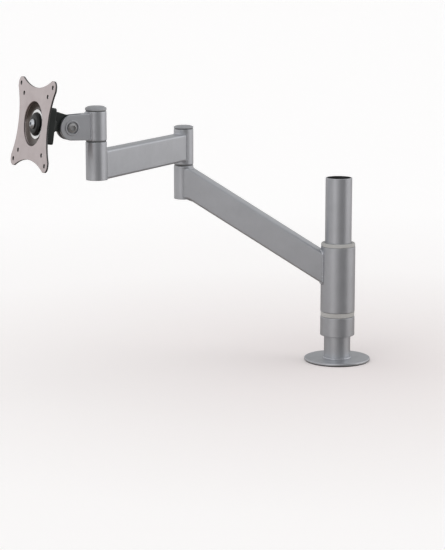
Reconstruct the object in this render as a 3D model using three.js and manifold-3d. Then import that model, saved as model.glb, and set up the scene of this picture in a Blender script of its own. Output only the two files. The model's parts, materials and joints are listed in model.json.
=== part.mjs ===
// Desk-mounted monitor arm with two links, a tilting head and a screen plate.
//
// Units are millimetres and +Z is up. The origin is the centre of the rubber pad's underside, where
// the arm stands on the desk. The lower link points along -X; the other links are at their own
// headings, counted anticlockwise from +X as seen from above.
//
// A through-desk stud and hand nut clamp the base. A collar slides on the pole and carries a sleeve
// that turns on the pole. The lower link rises from the sleeve to the elbow, the forearm runs level
// to the wrist, and a clevis on the wrist carries the tilting bracket and the turning plate.

import * as THREE from 'three'
import { mergeVertices } from 'three/addons/utils/BufferGeometryUtils.js'
import Module from 'manifold-3d'

const wasm = await Module()
wasm.setup()

// ---------------------------------------------------------------- driving dimensions

const GAP = 0.3 // between pieces that touch on the real arm

// Base: pad, flange, pole, and the clamp under a desk top of this thickness
const DESK_T = 25
const PAD = { r: 46, t: 1.2 }
const FLANGE = { r: 47.5, t: 3.2, hole: 7, edge: 1 }
const POLE = { r: 19, wall: 2, top: 266.5, plug: 24 }
const STUD = { r: 5, bottom: -78, top: 26, clearance: 1.5 }
const CLAMP_PLATE = { r: 40, t: 4, edge: 0.8, padR: 38, padT: 2 }
const CLAMP_WASHER = { r: 11, t: 1.6 }
const KNOB = { r: 23, t: 14, lobes: 6, lobeR: 6.5, insertR: 9, insertProud: 2 }

// Collar and sleeve on the pole
const RUNNING = 0.35 // radial clearance between pole and what slides on it
const COLLAR = { r: 24.7, z0: 38, z1: 65.6, edge: 0.6 }
const SLEEVE = { r: 24.7, wall: 2.2, z0: 73, z1: 167.5 }
const BUSH_RIM = { r: 24.4, topT: 5.2, spigot: 27, edge: 0.6, topEdge: 1.6 }
const SET_SCREW = { r: 3, length: 5, hex: 3 }

// Pivot hubs at elbow and wrist share one tube size
const HUB = { r: 14.05, bore: 10, edge: 0.5, washerT: 1, washerR: 13.4 }
const END_PLUG = { inset: 0.5, t: 5.5 }
const SPINDLE = { foot: 9.7, footInset: 12, shoulder: 2, r: 5, running: 0.25, edge: 0.8 }
const PIVOT_BUSH = { lower: 10, upper: 6, thrustT: 1.5, thrustR: 9.3 }
const NUT = { flats: 16, t: 7.5, belowTop: 14.5 }
const SPINDLE_BELOW_TOP = 4.5
const CAP = { overhang: 0.1, spigotWall: 1.6, spigotLength: 5, shoulder: 1.2 }

// Elbow
const ELBOW_X = -224
const ELBOW = { z0: 232.3, seam: 281.5, z1: 333.2, capT: 5 }

// Lower link: a rectangular tube that leaves the elbow level and then slopes down to the sleeve
const LOWER_BEAM = { height: 45.6, width: 27.8, wall: 2, corner: 3.6, top: 278.4, level: 9, slopeDeg: 31.5 }

// Forearm: a level rectangular tube
const FOREARM = { length: 246, headingDeg: 251, height: 39, width: 21, wall: 2, corner: 3.2, z0: 287.7 }

// Wrist and clevis
const WRIST = { z0: 288, seam: 339.6, z1: 379, capT: 7 }
const HEAD_HEADING_DEG = 217
const CLEVIS = { reach: 38, z: 359.2, tipR: 16.5, rootHalf: 17.6, width: 17, slot: 8.6, slotStart: 22.5 }
const EAR_BOSS = { r: 10, proud: 1.2, recessR: 8, recess: 0.8 }
const NUT_POCKET = { slack: 0.8, depth: 2 }
const TILT_BOLT = { r: 4, headR: 6.6, headT: 4.2, key: 6, keyDepth: 2.2 }
const TILT_NUT = { nutFlats: 13, nutT: 6.5, washerT: 0.5, washerR: 11 }

// Tilting bracket: a tongue in the clevis, and a square plate that carries the screen plate
const TILT_DEG = 8
const TONGUE = { r: 14.8, t: 7, top: 19, bottom: -6.5, topX: 22.2, bottomX: 18.6, boss: 17, bossCorner: 4 }
const BACK_PLATE = { x: 31.4, t: 10.8, side: 47.5, corner: 3, tappedR: 4.3 }

// Screen plate with the 75 mm and 100 mm hole squares
const PLATE = { half: 58.5, t: 2.5, corner: 8.5, earFlat: 13, scallop: 11.5, waist: 12.5, front: 53 }
const DISH = { rimR: 29, floorR: 20.2, depth: 6.7, bore: 5.4, lip: 1.5, lap: 1 }
const SCREEN_HOLES = { squares: [75, 100], r: 2.7 }
const TURN_WASHER_R = 21
const TAPPED_DEPTH = 14 // of the turning bolt's hole, from the bracket's front face
const TURN_PIVOT = { ringR: 19.5, ringT: 1.4, discR: 15, discT: 4 }
const TURN_BOLT = { shankR: 4, headR: 6.5, headT: 3.4, key: 5, keyDepth: 2, inset: 2 }

// Facets round a full circle
const ROUND_LARGE = 36
const ROUND_MEDIUM = 28
const ROUND_SMALL = 20
const ROUND_LOBE = 12 // along half a lobe of the hand nut

const BEYOND = 400 // longer than any piece, for cutting tools

// ---------------------------------------------------------------- finishes

const finish = (color, roughness, metalness) => ({ color, roughness, metalness })
const SILVER = finish(0x9b9da1, 0.45, 0.55)
const PLATED = finish(0xc9c1c0, 0.3, 0.85)
const STEEL = finish(0x8d8f92, 0.35, 0.9)
const BLACK = finish(0x0d0f0f, 0.5, 0.2)
const NYLON = finish(0xb4b2aa, 0.55, 0)
const CAP_GREY = finish(0x8f9190, 0.5, 0)
const DARK_NYLON = finish(0x232426, 0.55, 0)
const RUBBER = finish(0x161616, 0.85, 0)
const BRASS = finish(0xa98a4a, 0.35, 0.9)

// ---------------------------------------------------------------- geometry helpers

const radians = THREE.MathUtils.degToRad

// Merge shared vertices, drop collapsed triangles and make the faces point out.
function closed(geometry) {
  const bare = geometry.clone()
  bare.deleteAttribute('normal')
  bare.deleteAttribute('uv')
  const merged = mergeVertices(bare, 1e-4)
  const at = merged.getAttribute('position')
  const source = merged.getIndex().array
  const corner = [new THREE.Vector3(), new THREE.Vector3(), new THREE.Vector3()]
  const kept = []
  let volume = 0
  for (let i = 0; i < source.length; i += 3) {
    const [a, b, c] = [source[i], source[i + 1], source[i + 2]]
    if (a === b || b === c || c === a) continue
    kept.push(a, b, c)
    corner[0].fromBufferAttribute(at, a)
    corner[1].fromBufferAttribute(at, b)
    corner[2].fromBufferAttribute(at, c)
    volume += corner[0].dot(corner[1].cross(corner[2]))
  }
  if (volume < 0) kept.reverse()
  merged.setIndex(kept)
  return merged
}

function toManifold(geometry) {
  const solid = closed(geometry)
  return new wasm.Manifold(new wasm.Mesh({
    numProp: 3,
    vertProperties: new Float32Array(solid.getAttribute('position').array),
    triVerts: new Uint32Array(solid.getIndex().array)
  }))
}

function fromManifold(manifold) {
  const mesh = manifold.getMesh()
  const geometry = new THREE.BufferGeometry()
  geometry.setAttribute('position', new THREE.BufferAttribute(mesh.vertProperties, 3))
  geometry.setIndex(new THREE.BufferAttribute(mesh.triVerts, 1))
  return geometry
}

function cut(body, ...tools) {
  return fromManifold(tools.reduce((left, tool) => left.subtract(toManifold(tool)), toManifold(body)))
}

function join(body, ...others) {
  return fromManifold(others.reduce((all, other) => all.add(toManifold(other)), toManifold(body)))
}

// A profile of [radius, height] points turned about Z. Tubes close on themselves.
function turned(profile, facets = ROUND_SMALL) {
  const points = profile.map(([r, z]) => new THREE.Vector2(r, z))
  const onAxis = points[0].x === 0 && points.at(-1).x === 0
  if (!onAxis) points.push(points[0].clone())
  return new THREE.LatheGeometry(points, facets).rotateX(Math.PI / 2)
}

// A plain tube, or a rod when the bore is 0.
function tube(r, bore, z0, z1, facets = ROUND_SMALL) {
  return turned([[bore, z0], [r, z0], [r, z1], [bore, z1]], facets)
}

// A tube whose outer edges are broken by a small chamfer.
function edgedTube(r, bore, z0, z1, edge, facets = ROUND_LARGE) {
  const outside = [[r - edge, z0], [r, z0 + edge], [r, z1 - edge], [r - edge, z1]]
  return turned([[bore, z0], ...outside, [bore, z1]], facets)
}

function roundedRectangle(width, height, corner) {
  const [w, h] = [width / 2, height / 2]
  const shape = new THREE.Shape()
  shape.moveTo(-w + corner, -h)
  shape.lineTo(w - corner, -h)
  shape.absarc(w - corner, -h + corner, corner, -Math.PI / 2, 0)
  shape.lineTo(w, h - corner)
  shape.absarc(w - corner, h - corner, corner, 0, Math.PI / 2)
  shape.lineTo(-w + corner, h)
  shape.absarc(-w + corner, h - corner, corner, Math.PI / 2, Math.PI)
  shape.lineTo(-w, -h + corner)
  shape.absarc(-w + corner, -h + corner, corner, Math.PI, Math.PI * 1.5)
  return shape
}

function hexagon(flats) {
  const shape = new THREE.Shape()
  for (let i = 0; i < 6; i++) {
    const angle = i * Math.PI / 3
    const r = flats / 2 / Math.cos(Math.PI / 6)
    shape[i ? 'lineTo' : 'moveTo'](r * Math.cos(angle), r * Math.sin(angle))
  }
  return shape
}

function extruded(shape, depth, curveSegments = 2) {
  return new THREE.ExtrudeGeometry(shape, { depth, bevelEnabled: false, steps: 1, curveSegments })
}

// A bar along +X from x0 to x1 with the given section: shape x is across (Y), shape y is up (Z).
function bar(section, x0, x1) {
  return extruded(section, x1 - x0).rotateX(Math.PI / 2).rotateZ(Math.PI / 2).translate(x0, 0, 0)
}

// A plate lying in the XZ plane, centred on y = 0.
function upright(shape, thickness, curveSegments = 6) {
  return extruded(shape, thickness, curveSegments).rotateX(Math.PI / 2).translate(0, thickness / 2, 0)
}

// A rod along Y, centred on the given point.
function crossRod(r, length, x, y, z, facets = ROUND_SMALL) {
  return new THREE.CylinderGeometry(r, r, length, facets).translate(x, y, z)
}

function hexNut(flats, bore, z0, z1) {
  const shape = hexagon(flats)
  shape.holes.push(new THREE.Path().absarc(0, 0, bore, 0, Math.PI * 2, true))
  return extruded(shape, z1 - z0, 10).translate(0, 0, z0)
}

function group(parent, x = 0, y = 0, z = 0) {
  const made = new THREE.Group()
  made.position.set(x, y, z)
  parent.add(made)
  return made
}

function part(parent, name, geometry, look) {
  const mesh = new THREE.Mesh(closed(geometry), new THREE.MeshStandardMaterial(look))
  mesh.name = name
  parent.add(mesh)
  return mesh
}

// ---------------------------------------------------------------- base and desk clamp

function makeBase(parent) {
  const flangeZ = PAD.t + GAP
  const poleZ = flangeZ + FLANGE.t + GAP
  part(parent, 'base_pad', tube(PAD.r, STUD.r + STUD.clearance, 0, PAD.t, ROUND_LARGE), RUBBER)
  const flange = edgedTube(FLANGE.r, FLANGE.hole, flangeZ, poleZ - GAP, FLANGE.edge)
  part(parent, 'base_flange', flange, SILVER)
  part(parent, 'pole', tube(POLE.r, POLE.r - POLE.wall, poleZ, POLE.top, ROUND_LARGE), SILVER)
  const plug = tube(POLE.r - POLE.wall - GAP, STUD.r + GAP, poleZ, poleZ + POLE.plug)
  part(parent, 'pole_foot_plug', plug, STEEL)
  part(parent, 'desk_stud', edgedTube(STUD.r, 0, STUD.bottom, STUD.top, 1, ROUND_SMALL), STEEL)
}

// Pad and plate press on the underside of the desk; the washer and hand nut draw them up the stud.
function makeClamp(parent) {
  const bore = STUD.r + GAP
  const padTop = -DESK_T
  const { r, t, edge, padR, padT } = CLAMP_PLATE
  const plateTop = padTop - padT - GAP
  const washerTop = plateTop - t - GAP
  const knobTop = washerTop - CLAMP_WASHER.t - GAP
  const knobBottom = knobTop - KNOB.t
  part(parent, 'clamp_pad', tube(padR, STUD.r + STUD.clearance, padTop - padT, padTop, ROUND_MEDIUM), RUBBER)
  part(parent, 'clamp_plate', edgedTube(r, bore, plateTop - t, plateTop, edge, ROUND_MEDIUM), STEEL)
  part(parent, 'clamp_washer', tube(CLAMP_WASHER.r, bore, washerTop - CLAMP_WASHER.t, washerTop), STEEL)

  const outline = new THREE.Shape()
  const step = Math.PI * 2 / KNOB.lobes
  const waist = KNOB.r - KNOB.lobeR
  for (let i = 0; i < KNOB.lobes; i++) {
    const angle = i * step
    const [x, y] = [waist * Math.cos(angle), waist * Math.sin(angle)]
    outline.absarc(x, y, KNOB.lobeR, angle - Math.PI / 2, angle + Math.PI / 2)
  }
  outline.holes.push(new THREE.Path().absarc(0, 0, KNOB.insertR + GAP, 0, Math.PI * 2, true))
  part(parent, 'hand_nut', extruded(outline, KNOB.t, ROUND_LOBE).translate(0, 0, knobBottom), BLACK)
  part(parent, 'hand_nut_insert', tube(KNOB.insertR, bore, knobBottom - KNOB.insertProud, knobTop), BRASS)
}

// ---------------------------------------------------------------- collar and sleeve

function makeCollar(parent) {
  const bore = POLE.r + RUNNING
  const middle = (COLLAR.z0 + COLLAR.z1) / 2
  const ring = edgedTube(COLLAR.r, bore, COLLAR.z0, COLLAR.z1, COLLAR.edge)
  const tapped = crossRod(SET_SCREW.r + GAP, COLLAR.r, 0, COLLAR.r, middle)
  part(parent, 'stop_collar', cut(ring, tapped), SILVER)
  const { r, length, hex } = SET_SCREW
  const screwY = bore + GAP + length / 2
  const mouthY = screwY + length / 2
  const socket = extruded(hexagon(hex), 2 * hex).rotateX(-Math.PI / 2).translate(0, mouthY - hex, 0)
  const screw = cut(crossRod(r, length, 0, screwY, 0), socket)
  part(parent, 'collar_set_screw', screw.translate(0, 0, middle), STEEL)
}

function makeSleeve(parent) {
  const bore = POLE.r + RUNNING
  const spigot = SLEEVE.r - SLEEVE.wall - GAP
  const lowRim = { z0: COLLAR.z1 + GAP, z1: SLEEVE.z0 - GAP }
  const highRim = { z0: SLEEVE.z1 + GAP, z1: SLEEVE.z1 + GAP + BUSH_RIM.topT }
  const { r, edge, topEdge } = BUSH_RIM
  part(parent, 'sleeve', tube(SLEEVE.r, SLEEVE.r - SLEEVE.wall, SLEEVE.z0, SLEEVE.z1, ROUND_LARGE), SILVER)
  part(parent, 'sleeve_lower_bush', turned([
    [bore, lowRim.z0], [r - edge, lowRim.z0], [r, lowRim.z0 + edge], [r, lowRim.z1],
    [spigot, lowRim.z1], [spigot, lowRim.z1 + BUSH_RIM.spigot], [bore, lowRim.z1 + BUSH_RIM.spigot]
  ], ROUND_LARGE), NYLON)
  part(parent, 'sleeve_upper_bush', turned([
    [bore, highRim.z0 - BUSH_RIM.spigot], [spigot, highRim.z0 - BUSH_RIM.spigot], [spigot, highRim.z0],
    [r, highRim.z0], [r, highRim.z1 - topEdge], [r - topEdge, highRim.z1], [bore, highRim.z1]
  ], ROUND_LARGE), NYLON)
}

// ---------------------------------------------------------------- rectangular links

// The lower link's tube: level for a short way at the elbow, then sheared down to the sleeve. Both
// ends are coped to the tubes they are welded to.
function makeLowerBeam(parent) {
  const { height, width, wall, corner, top, level, slopeDeg } = LOWER_BEAM
  const middle = top - height / 2
  const reach = -ELBOW_X
  const slope = new THREE.Matrix4().makeShear(0, -Math.tan(radians(slopeDeg)), 0, 0, 0, 0)
  const bent = (w, h, r, overlap) => {
    const section = roundedRectangle(w, h, r)
    const straight = bar(section, 0, level + overlap)
    const falling = bar(section, 0, reach - level).applyMatrix4(slope).translate(level, 0, 0)
    return join(straight, falling).translate(ELBOW_X, 0, middle)
  }
  const overlap = 0.01
  const slopingWall = wall / Math.cos(radians(slopeDeg))
  const outside = bent(width, height, corner, overlap)
  const inside = bent(width - 2 * wall, height - 2 * slopingWall, corner - wall, overlap)
  const sleeveCope = tube(SLEEVE.r + GAP, 0, 0, BEYOND, ROUND_LARGE)
  const hubCope = tube(HUB.r + GAP, 0, 0, BEYOND, ROUND_LARGE).translate(ELBOW_X, 0, 0)
  part(parent, 'lower_beam', cut(outside, inside, sleeveCope, hubCope), SILVER)
}

function makeForearmBeam(parent) {
  const { length, height, width, wall, corner, z0 } = FOREARM
  const outside = bar(roundedRectangle(width, height, corner), 0, length)
  const inside = bar(roundedRectangle(width - 2 * wall, height - 2 * wall, corner - wall), -1, length + 1)
  const copes = [0, length].map((x) => tube(HUB.r + GAP, 0, -BEYOND, BEYOND, ROUND_LARGE).translate(x, 0, 0))
  const beam = cut(outside, inside, ...copes)
  part(parent, 'forearm_beam', beam.translate(0, 0, z0 + height / 2), SILVER)
}

// ---------------------------------------------------------------- pivots at elbow and wrist

// The half of a pivot that stands still: hub tube, stepped spindle, seam washer, nut and end plug.
function makePivotFoot(parent, name, z0, seam, spindleTop, nutZ) {
  const hubTop = seam - HUB.washerT / 2 - GAP
  const { foot, footInset, shoulder, r, edge } = SPINDLE
  const plugZ = z0 + END_PLUG.inset
  part(parent, `${name}_lower_hub`, edgedTube(HUB.r, HUB.bore, z0, hubTop, HUB.edge), SILVER)
  part(parent, `${name}_end_plug`, tube(HUB.bore - GAP, 0, plugZ, plugZ + END_PLUG.t), CAP_GREY)
  part(parent, `${name}_spindle`, turned([
    [0, z0 + footInset], [foot, z0 + footInset], [foot, hubTop - shoulder], [r, hubTop - shoulder],
    [r, spindleTop - edge], [r - edge, spindleTop], [0, spindleTop]
  ]), STEEL)
  const half = HUB.washerT / 2
  const washer = tube(HUB.washerR, r + SPINDLE.running, seam - half, seam + half, ROUND_MEDIUM)
  part(parent, `${name}_seam_washer`, washer, DARK_NYLON)
  part(parent, `${name}_nut`, hexNut(NUT.flats, r + GAP, nutZ, nutZ + NUT.t), STEEL)
}

// Bushes and thrust washer inside the turning half, below the nut.
function makePivotBushes(parent, name, hubBottom, nutZ) {
  const bore = SPINDLE.r + SPINDLE.running
  const r = HUB.bore - GAP
  const { lower, upper, thrustT, thrustR } = PIVOT_BUSH
  const washerZ = nutZ - GAP - thrustT
  part(parent, `${name}_lower_bush`, tube(r, bore, hubBottom, hubBottom + lower), NYLON)
  part(parent, `${name}_upper_bush`, tube(r, bore, washerZ - GAP - upper, washerZ - GAP), NYLON)
  part(parent, `${name}_thrust_washer`, tube(thrustR, bore, washerZ, washerZ + thrustT), STEEL)
}

// A push-in cap with a low dome; the spigot is hollow so that it clears the spindle's end.
function makePivotCap(parent, name, z, height) {
  const r = HUB.r + CAP.overhang
  const spigot = HUB.bore - GAP
  const hollow = spigot - CAP.spigotWall
  const bottom = z - CAP.spigotLength
  part(parent, `${name}_cap`, turned([
    [0, z - 0.5], [hollow, z - 0.5], [hollow, bottom], [spigot, bottom], [spigot, z], [r, z],
    [r, z + height * 0.45], [r - CAP.shoulder, z + height * 0.72], [r * 0.6, z + height * 0.94],
    [0, z + height]
  ], ROUND_LARGE), CAP_GREY)
}

// ---------------------------------------------------------------- head: clevis, bracket, plate

// One casting: the turning hub and, on its side, the two ears that hold the tilt bolt.
function makeClevis(parent) {
  const { reach, z, tipR, rootHalf, width, slot, slotStart } = CLEVIS
  const hubBottom = WRIST.seam + HUB.washerT / 2 + GAP
  const ear = new THREE.Shape()
  ear.moveTo(0, -rootHalf)
  ear.lineTo(reach, -tipR)
  ear.absarc(reach, 0, tipR, -Math.PI / 2, Math.PI / 2)
  ear.lineTo(0, rootHalf)
  const block = upright(ear, width).translate(0, 0, z)
  const hub = edgedTube(HUB.r, 0, hubBottom, WRIST.z1, HUB.edge)
  const { r, proud, recessR, recess } = EAR_BOSS
  const face = width / 2
  const boss = crossRod(r, 2 * proud, reach, face, z, ROUND_MEDIUM)
  const gap = new THREE.BoxGeometry(BEYOND, slot, BEYOND).translate(slotStart + BEYOND / 2, 0, z)
  const recessT = proud + recess + 1
  const tools = [
    tube(HUB.bore, 0, hubBottom - 1, WRIST.z1 + 1, ROUND_MEDIUM),
    gap,
    crossRod(TILT_BOLT.r + GAP, BEYOND, reach, 0, z),
    crossRod(recessR, recessT, reach, face - recess + recessT / 2, z, ROUND_MEDIUM),
    upright(hexagon(TILT_NUT.nutFlats + NUT_POCKET.slack), 2 * NUT_POCKET.depth).translate(reach, -face, z)
  ]
  part(parent, 'swivel_clevis', cut(join(block, hub, boss), ...tools), SILVER)
}

function makeTiltFasteners(parent) {
  const { reach, z, width } = CLEVIS
  const { r, headR, headT, key, keyDepth } = TILT_BOLT
  const { nutFlats, nutT, washerT, washerR } = TILT_NUT
  const seat = width / 2 - EAR_BOSS.recess + GAP
  const nutY = -width / 2 + NUT_POCKET.depth - GAP
  const head = [
    [0, seat + headT], [headR * 0.5, seat + headT], [headR * 0.86, seat + headT * 0.7],
    [headR, seat + headT * 0.3], [headR, seat], [r, seat]
  ]
  const bolt = turned([...head, [r, nutY - nutT - 1], [0, nutY - nutT - 1]])
  const socket = extruded(hexagon(key), headT).translate(0, 0, seat + headT - keyDepth)
  const along = (geometry) => geometry.rotateX(-Math.PI / 2).translate(reach, 0, z)
  part(parent, 'tilt_bolt', along(cut(bolt, socket)), STEEL)
  part(parent, 'tilt_nut', along(hexNut(nutFlats, r + GAP, nutY - nutT, nutY)), STEEL)
  const sides = { near: 1, far: -1 }
  for (const [side, sign] of Object.entries(sides)) {
    const washer = crossRod(washerR, washerT, reach, sign * (TONGUE.t + washerT + GAP) / 2, z, ROUND_MEDIUM)
    const hole = crossRod(r + GAP, BEYOND, reach, 0, z)
    part(parent, `tilt_washer_${side}`, cut(washer, hole), DARK_NYLON)
  }
}

// The black casting, in the tilting frame: X leads from the tilt bolt to the screen.
function makeBracket(parent) {
  const { r, t, top, bottom, topX, bottomX, boss, bossCorner } = TONGUE
  const { x, side, corner, tappedR } = BACK_PLATE
  const outline = new THREE.Shape()
  outline.absarc(0, 0, r, Math.PI * 0.5, Math.PI * 1.75)
  outline.lineTo(bottomX, bottom)
  outline.lineTo(x + 1, bottom)
  outline.lineTo(x + 1, top)
  outline.lineTo(topX, top)
  const tongue = upright(outline, t)
  const block = bar(roundedRectangle(boss, boss, bossCorner), topX, x + 1)
  const front = x + BACK_PLATE.t
  const plate = bar(roundedRectangle(side, side, corner), x, front)
  const pivotHole = crossRod(TILT_BOLT.r + GAP, BEYOND, 0, 0, 0)
  const tapped = tube(tappedR, 0, front - TAPPED_DEPTH, front + 1).rotateY(Math.PI / 2)
  part(parent, 'tilt_bracket', cut(join(tongue, block, plate), pivotHole, tapped), BLACK)
}

// Everything on the turning axis: friction washer behind the dish, ring, disc and bolt inside it.
function makeTurnPivot(parent) {
  const along = (geometry) => geometry.rotateY(Math.PI / 2)
  const { ringR, ringT, discR, discT } = TURN_PIVOT
  const { shankR, headR, headT, key, keyDepth, inset } = TURN_BOLT
  const bore = shankR + GAP
  const floor = PLATE.front - DISH.depth
  const washerEnd = floor - PLATE.t - GAP
  const ringStart = floor + GAP
  const discStart = ringStart + ringT + GAP
  const headStart = discStart + discT + GAP
  const washerStart = BACK_PLATE.x + BACK_PLATE.t + GAP
  const washer = tube(TURN_WASHER_R, bore, washerStart, washerEnd, ROUND_MEDIUM)
  part(parent, 'turn_friction_washer', along(washer), DARK_NYLON)
  part(parent, 'turn_ring', along(tube(ringR, bore, ringStart, ringStart + ringT, ROUND_LARGE)), PLATED)
  part(parent, 'turn_disc', along(turned([
    [bore, discStart], [discR, discStart], [discR, discStart + discT * 0.45],
    [discR - 2.2, discStart + discT * 0.85], [headR + 1.5, discStart + discT], [bore, discStart + discT]
  ], ROUND_MEDIUM)), BLACK)
  const shankEnd = BACK_PLATE.x + inset
  const bolt = turned([
    [0, shankEnd], [shankR, shankEnd], [shankR, headStart], [headR, headStart],
    [headR, headStart + headT * 0.35],
    [headR * 0.8, headStart + headT * 0.75], [headR * 0.45, headStart + headT], [0, headStart + headT]
  ])
  const socket = extruded(hexagon(key), headT).translate(0, 0, headStart + headT - keyDepth)
  part(parent, 'turn_bolt', along(cut(bolt, socket)), STEEL)
}

// Square plate with hollowed sides, a corner ear round each outer hole, and a stamped dish.
function plateOutline() {
  const { half, corner, earFlat, scallop, waist } = PLATE
  const shape = new THREE.Shape()
  const sweep = (depth) => {
    const chord = half - earFlat
    const radius = (chord * chord + depth * depth) / (2 * depth)
    return { chord, radius, centre: half - depth + radius, angle: Math.asin(chord / radius) }
  }
  for (let side = 0; side < 4; side++) {
    const turn = side * Math.PI / 2
    const arc = sweep(side % 2 ? scallop : waist)
    const place = (distance, angle) => [distance * Math.cos(turn + angle), distance * Math.sin(turn + angle)]
    const [cx, cy] = place(arc.centre, 0)
    shape.absarc(cx, cy, arc.radius, turn + Math.PI + arc.angle, turn + Math.PI - arc.angle, true)
    const diagonal = (half - corner) * Math.SQRT2
    const [ex, ey] = place(diagonal, Math.PI / 4)
    shape.absarc(ex, ey, corner, turn, turn + Math.PI / 2)
  }
  return shape
}

function makeScreenPlate(parent) {
  const outline = plateOutline()
  const hole = (x, y, r) => new THREE.Path().absarc(x, y, r, 0, Math.PI * 2, true)
  for (const square of SCREEN_HOLES.squares) {
    for (const [sx, sy] of [[1, 1], [-1, 1], [-1, -1], [1, -1]]) {
      outline.holes.push(hole(sx * square / 2, sy * square / 2, SCREEN_HOLES.r))
    }
  }
  const { rimR, floorR, depth, bore, lip, lap } = DISH
  outline.holes.push(hole(0, 0, rimR + lip - lap))
  const sheet = extruded(outline, PLATE.t, 5).translate(0, 0, -PLATE.t)
  // A quarter ellipse from the rim down to the flat floor; the back runs a sheet's thickness behind it
  const wall = (z, rim, shares) => shares.map((share) => {
    const angle = share * Math.PI / 2
    return [floorR + (rim - floorR) * Math.cos(angle), z - depth * Math.sin(angle)]
  })
  const dish = turned([
    [bore, -depth - PLATE.t], ...wall(-PLATE.t, rimR + lip, [1, 0.75, 0.5, 0.25, 0]),
    [rimR + lip, 0], ...wall(0, rimR, [0, 0.25, 0.5, 0.75, 1]), [bore, -depth]
  ], ROUND_LARGE)
  const facing = join(sheet, dish).rotateX(Math.PI / 2).rotateZ(Math.PI / 2)
  part(parent, 'screen_plate', facing.translate(PLATE.front, 0, 0), PLATED)
}

// ---------------------------------------------------------------- assembly

const monitorArm = new THREE.Group()
makeBase(monitorArm)
makeClamp(monitorArm)
makeCollar(monitorArm)
makeSleeve(monitorArm)
makeLowerBeam(monitorArm)

const elbow = group(monitorArm, ELBOW_X, 0, 0)
elbow.rotation.z = radians(FOREARM.headingDeg)
const elbowNutZ = ELBOW.z1 - NUT.belowTop
makePivotFoot(elbow, 'elbow', ELBOW.z0, ELBOW.seam, ELBOW.z1 - SPINDLE_BELOW_TOP, elbowNutZ)
const elbowHubBottom = ELBOW.seam + HUB.washerT / 2 + GAP
part(elbow, 'elbow_upper_hub', edgedTube(HUB.r, HUB.bore, elbowHubBottom, ELBOW.z1, HUB.edge), SILVER)
makePivotBushes(elbow, 'elbow', elbowHubBottom, elbowNutZ)
makePivotCap(elbow, 'elbow', ELBOW.z1 + GAP, ELBOW.capT)
makeForearmBeam(elbow)

const wrist = group(elbow, FOREARM.length, 0, 0)
wrist.rotation.z = radians(HEAD_HEADING_DEG - FOREARM.headingDeg)
const wristNutZ = WRIST.z1 - NUT.belowTop
makePivotFoot(wrist, 'wrist', WRIST.z0, WRIST.seam, WRIST.z1 - SPINDLE_BELOW_TOP, wristNutZ)
makePivotBushes(wrist, 'wrist', WRIST.seam + HUB.washerT / 2 + GAP, wristNutZ)
makePivotCap(wrist, 'wrist', WRIST.z1 + GAP, WRIST.capT)
makeClevis(wrist)
makeTiltFasteners(wrist)

const tilting = group(wrist, CLEVIS.reach, 0, CLEVIS.z)
tilting.rotation.y = -radians(TILT_DEG)
makeBracket(tilting)
makeTurnPivot(tilting)
makeScreenPlate(tilting)

export default monitorArm
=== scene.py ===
"""Looks of a desk-mounted monitor arm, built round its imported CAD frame.

Metres, +Z up; the desk top is z = 0 and the pole stands at the origin. Places and sizes come from the
frame's joints and nodes. Pieces that turn or are swept are rebuilt here with rounded edges, welds and
threads, and ride on the CAD bodies; pieces hidden inside keep their CAD mesh.
"""

import json
import math
import random

import bmesh
import bpy
import numpy as np
from mathutils import Matrix, Vector

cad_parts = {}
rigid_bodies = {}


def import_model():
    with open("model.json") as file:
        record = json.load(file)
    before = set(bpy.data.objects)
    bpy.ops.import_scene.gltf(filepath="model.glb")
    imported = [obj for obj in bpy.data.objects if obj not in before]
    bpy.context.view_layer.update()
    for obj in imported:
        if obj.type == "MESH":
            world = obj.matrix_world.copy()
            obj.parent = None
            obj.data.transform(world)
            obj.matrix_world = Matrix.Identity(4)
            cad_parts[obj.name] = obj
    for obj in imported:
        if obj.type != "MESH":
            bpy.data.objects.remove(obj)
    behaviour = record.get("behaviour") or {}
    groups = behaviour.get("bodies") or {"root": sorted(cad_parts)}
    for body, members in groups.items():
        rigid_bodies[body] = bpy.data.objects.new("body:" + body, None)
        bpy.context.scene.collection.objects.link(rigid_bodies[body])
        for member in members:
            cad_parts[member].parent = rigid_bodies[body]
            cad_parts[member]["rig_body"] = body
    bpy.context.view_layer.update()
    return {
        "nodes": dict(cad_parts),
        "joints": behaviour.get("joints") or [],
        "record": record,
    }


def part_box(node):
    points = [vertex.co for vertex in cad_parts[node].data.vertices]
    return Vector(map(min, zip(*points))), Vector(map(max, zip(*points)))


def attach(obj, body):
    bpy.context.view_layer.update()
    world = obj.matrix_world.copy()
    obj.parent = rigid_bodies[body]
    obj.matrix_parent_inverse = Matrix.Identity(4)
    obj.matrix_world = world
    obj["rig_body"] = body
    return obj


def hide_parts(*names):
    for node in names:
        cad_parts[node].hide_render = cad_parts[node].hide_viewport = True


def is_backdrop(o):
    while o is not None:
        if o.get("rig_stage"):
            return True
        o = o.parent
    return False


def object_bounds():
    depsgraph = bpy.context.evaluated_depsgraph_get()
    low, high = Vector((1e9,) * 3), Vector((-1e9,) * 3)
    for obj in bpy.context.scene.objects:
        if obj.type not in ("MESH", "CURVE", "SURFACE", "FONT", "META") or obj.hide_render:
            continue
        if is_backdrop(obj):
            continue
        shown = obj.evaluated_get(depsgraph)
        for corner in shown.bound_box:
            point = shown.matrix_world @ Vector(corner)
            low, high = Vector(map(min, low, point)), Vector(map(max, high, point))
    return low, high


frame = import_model()
RNG = random.Random(7)
MM = 0.001
GAP = 0.3 * MM

# ------------------------------------------------------------------ frames

JOINTS = {j["name"]: j for j in frame["joints"]}


def pivot(name):
    return Vector(JOINTS[name]["pos_m"])


def upright_frame(at, towards):
    """Origin under `at` on the desk, X towards the other point, Z up."""
    heading = math.atan2(towards.y - at.y, towards.x - at.x)
    return Matrix.Translation((at.x, at.y, 0)) @ Matrix.Rotation(heading, 4, "Z")


def axes_frame(origin, x, y, z):
    m = Matrix((x, y, z)).transposed().to_4x4()
    m.translation = origin
    return m


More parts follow.
